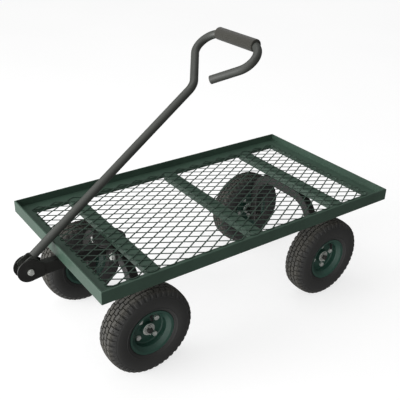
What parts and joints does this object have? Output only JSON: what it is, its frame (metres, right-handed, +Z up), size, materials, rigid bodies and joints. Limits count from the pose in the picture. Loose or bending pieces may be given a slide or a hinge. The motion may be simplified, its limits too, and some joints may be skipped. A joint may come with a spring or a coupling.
{
  "type": "garden cart",
  "caption": "Flat garden cart with an expanded-mesh deck in a raised steel rim, pneumatic wheels, a turntable-steered front axle and a tilting pull handle with a loop and foam grip.",
  "frame": {"origin": "on the ground, half way along the whole cart from the tail rail to the tip of the tongue, on the cart's centre plane", "axes": "+X forward to the tongue and handle pivot, +Y to the cart's left, +Z up"},
  "size_m": [1.0787, 0.53, 0.8104],
  "materials": {
    "frame_paint": "semi-gloss dark green powder coat",
    "mesh_paint": "semi-gloss dark green powder coat on expanded metal",
    "rim_paint": "semi-gloss dark green enamel",
    "chassis_paint": "satin black paint",
    "handle_paint": "satin dark grey paint",
    "axle_steel": "dark painted steel",
    "zinc": "zinc plated",
    "nylon": "matte black",
    "foam": "matte foam rubber",
    "tyre": "matte black rubber",
    "valve_rubber": "matte black rubber"
  },
  "bodies": {
    "frame": {"front_rail": "frame_paint", "rear_rail": "frame_paint", "left_rail": "frame_paint", "right_rail": "frame_paint", "front_cross_member": "frame_paint", "middle_cross_member": "frame_paint", "rear_cross_member": "frame_paint", "deck_mesh": "mesh_paint", "pivot_plate": "chassis_paint", "king_pin": "zinc", "king_pin_nut": "zinc", "rear_beam": "chassis_paint", "rear_left_axle": "axle_steel", "rear_right_axle": "axle_steel", "rear_axle_fasteners": "zinc"},
    "steering_axle": {"turntable_plate": "chassis_paint", "thrust_washer": "nylon", "front_beam": "chassis_paint", "front_left_axle": "axle_steel", "front_right_axle": "axle_steel", "front_axle_fasteners": "zinc", "tongue_plate": "chassis_paint", "tongue_bolts": "zinc", "tongue_tube": "chassis_paint", "left_ear": "chassis_paint", "right_ear": "chassis_paint", "handle_pivot_bolt": "zinc", "handle_pivot_nut": "zinc"},
    "handle": {"handle_bracket": "handle_paint", "handle_tube": "handle_paint", "handle_grip": "foam"},
    "front_left_wheel": {"front_left_tyre": "tyre", "front_left_outer_rim": "rim_paint", "front_left_inner_rim": "rim_paint", "front_left_bearings": "zinc", "front_left_rim_bolts": "zinc", "front_left_valve_stem": "valve_rubber"},
    "front_right_wheel": {"front_right_tyre": "tyre", "front_right_outer_rim": "rim_paint", "front_right_inner_rim": "rim_paint", "front_right_bearings": "zinc", "front_right_rim_bolts": "zinc", "front_right_valve_stem": "valve_rubber"},
    "rear_left_wheel": {"rear_left_tyre": "tyre", "rear_left_outer_rim": "rim_paint", "rear_left_inner_rim": "rim_paint", "rear_left_bearings": "zinc", "rear_left_rim_bolts": "zinc", "rear_left_valve_stem": "valve_rubber"},
    "rear_right_wheel": {"rear_right_tyre": "tyre", "rear_right_outer_rim": "rim_paint", "rear_right_inner_rim": "rim_paint", "rear_right_bearings": "zinc", "rear_right_rim_bolts": "zinc", "rear_right_valve_stem": "valve_rubber"}
  },
  "joints": [
    {"name": "steering", "type": "hinge", "parent": "frame", "child": "steering_axle", "pos_m": [0.2737, 0, 0.28], "axis": [0, 0, 1], "range_deg": [-15, 15]},
    {"name": "handle_tilt", "type": "hinge", "parent": "steering_axle", "child": "handle", "pos_m": [0.5056, 0, 0.28545], "axis": [0, 1, 0], "range_deg": [0, 158]},
    {"name": "front_left_wheel_spin", "type": "hinge", "parent": "steering_axle", "child": "front_left_wheel", "pos_m": [0.2737, 0.191, 0.127], "axis": [0, 1, 0], "continuous": true},
    {"name": "front_right_wheel_spin", "type": "hinge", "parent": "steering_axle", "child": "front_right_wheel", "pos_m": [0.2737, -0.191, 0.127], "axis": [0, 1, 0], "continuous": true},
    {"name": "rear_left_wheel_spin", "type": "hinge", "parent": "frame", "child": "rear_left_wheel", "pos_m": [-0.3678, 0.189, 0.127], "axis": [0, 1, 0], "continuous": true},
    {"name": "rear_right_wheel_spin", "type": "hinge", "parent": "frame", "child": "rear_right_wheel", "pos_m": [-0.3678, -0.189, 0.127], "axis": [0, 1, 0], "continuous": true}
  ]
}
